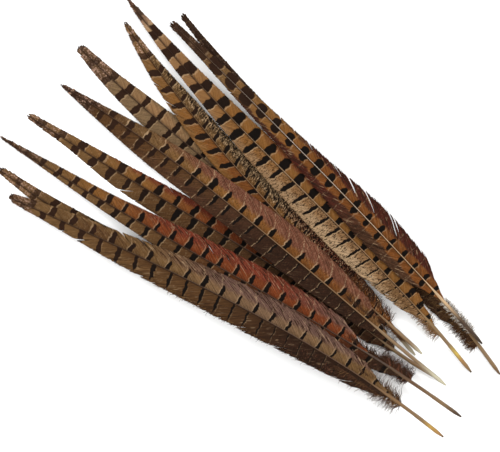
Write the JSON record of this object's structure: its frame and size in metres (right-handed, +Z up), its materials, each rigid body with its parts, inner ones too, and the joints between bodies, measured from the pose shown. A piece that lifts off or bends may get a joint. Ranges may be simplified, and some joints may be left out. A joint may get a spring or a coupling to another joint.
{
  "type": "fan of quill feathers",
  "caption": "Loose fan of long barred tail feathers: uncut natural quills laid over each other, each with a round barrel, tapering shaft, two vanes and a downy base.",
  "frame": {"origin": "middle of the fan's footprint, on the surface it lies on", "axes": "+X from the feather tips towards the quill ends, +Y across the fan, +Z up out of the surface"},
  "size_m": [0.501, 0.2368, 0.0186],
  "materials": {
    "shaft": "horn-like keratin, straw to ivory, darker towards the tip, satin gloss",
    "pith": "matte, foamy dry pith",
    "vane": "hooked barbs with a soft sheen, brown with dark bars",
    "down": "loose grey-brown down"
  },
  "bodies": {
    "feather_01": {"feather_01_shaft": "shaft", "feather_01_pith": "pith", "feather_01_vane_left": "vane", "feather_01_vane_right": "vane", "feather_01_down": "down"},
    "feather_02": {"feather_02_shaft": "shaft", "feather_02_pith": "pith", "feather_02_vane_left": "vane", "feather_02_vane_right": "vane", "feather_02_down": "down"},
    "feather_03": {"feather_03_shaft": "shaft", "feather_03_pith": "pith", "feather_03_vane_left": "vane", "feather_03_vane_right": "vane", "feather_03_down": "down"},
    "feather_04": {"feather_04_shaft": "shaft", "feather_04_pith": "pith", "feather_04_vane_left": "vane", "feather_04_vane_right": "vane", "feather_04_down": "down"},
    "feather_05": {"feather_05_shaft": "shaft", "feather_05_pith": "pith", "feather_05_vane_left": "vane", "feather_05_vane_right": "vane", "feather_05_down": "down"},
    "feather_06": {"feather_06_shaft": "shaft", "feather_06_pith": "pith", "feather_06_vane_left": "vane", "feather_06_vane_right": "vane", "feather_06_down": "down"},
    "feather_07": {"feather_07_shaft": "shaft", "feather_07_pith": "pith", "feather_07_vane_left": "vane", "feather_07_vane_right": "vane", "feather_07_down": "down"},
    "feather_08": {"feather_08_shaft": "shaft", "feather_08_pith": "pith", "feather_08_vane_left": "vane", "feather_08_vane_right": "vane", "feather_08_down": "down"},
    "feather_09": {"feather_09_shaft": "shaft", "feather_09_pith": "pith", "feather_09_vane_left": "vane", "feather_09_vane_right": "vane", "feather_09_down": "down"},
    "feather_10": {"feather_10_shaft": "shaft", "feather_10_pith": "pith", "feather_10_vane_left": "vane", "feather_10_vane_right": "vane", "feather_10_down": "down"}
  },
  "joints": [
    {"name": "feather_01_swing", "type": "hinge", "parent": "feather_04", "child": "feather_01", "pos_m": [0.22995, -0.03934, 0.00871], "axis": [0, 0, 1], "range_deg": [-3, 3]},
    {"name": "feather_02_swing", "type": "hinge", "parent": "feather_04", "child": "feather_02", "pos_m": [0.14677, -0.03924, 0.00209], "axis": [0, 0, 1], "range_deg": [-3, 3]},
    {"name": "feather_03_swing", "type": "hinge", "parent": "feather_04", "child": "feather_03", "pos_m": [0.23139, -0.01505, 0.00855], "axis": [0, 0, 1], "range_deg": [-3, 3]},
    {"name": "feather_05_swing", "type": "hinge", "parent": "feather_04", "child": "feather_05", "pos_m": [0.20148, -0.00004, 0.01253], "axis": [0, 0, 1], "range_deg": [-3, 3]},
    {"name": "feather_06_swing", "type": "hinge", "parent": "feather_04", "child": "feather_06", "pos_m": [0.16253, 0.00658, 0.00451], "axis": [0, 0, 1], "range_deg": [-3, 3]},
    {"name": "feather_07_swing", "type": "hinge", "parent": "feather_04", "child": "feather_07", "pos_m": [0.16635, 0.00977, 0.00936], "axis": [0, 0, 1], "range_deg": [-3, 3]},
    {"name": "feather_08_swing", "type": "hinge", "parent": "feather_04", "child": "feather_08", "pos_m": [0.2137, 0.02697, 0.00357], "axis": [0, 0, 1], "range_deg": [-3, 3]},
    {"name": "feather_09_swing", "type": "hinge", "parent": "feather_04", "child": "feather_09", "pos_m": [0.23589, 0.0428, 0.0021], "axis": [0, 0, 1], "range_deg": [-3, 3]},
    {"name": "feather_10_swing", "type": "hinge", "parent": "feather_04", "child": "feather_10", "pos_m": [0.20459, 0.05317, 0.00753], "axis": [0, 0, 1], "range_deg": [-3, 3]}
  ]
}
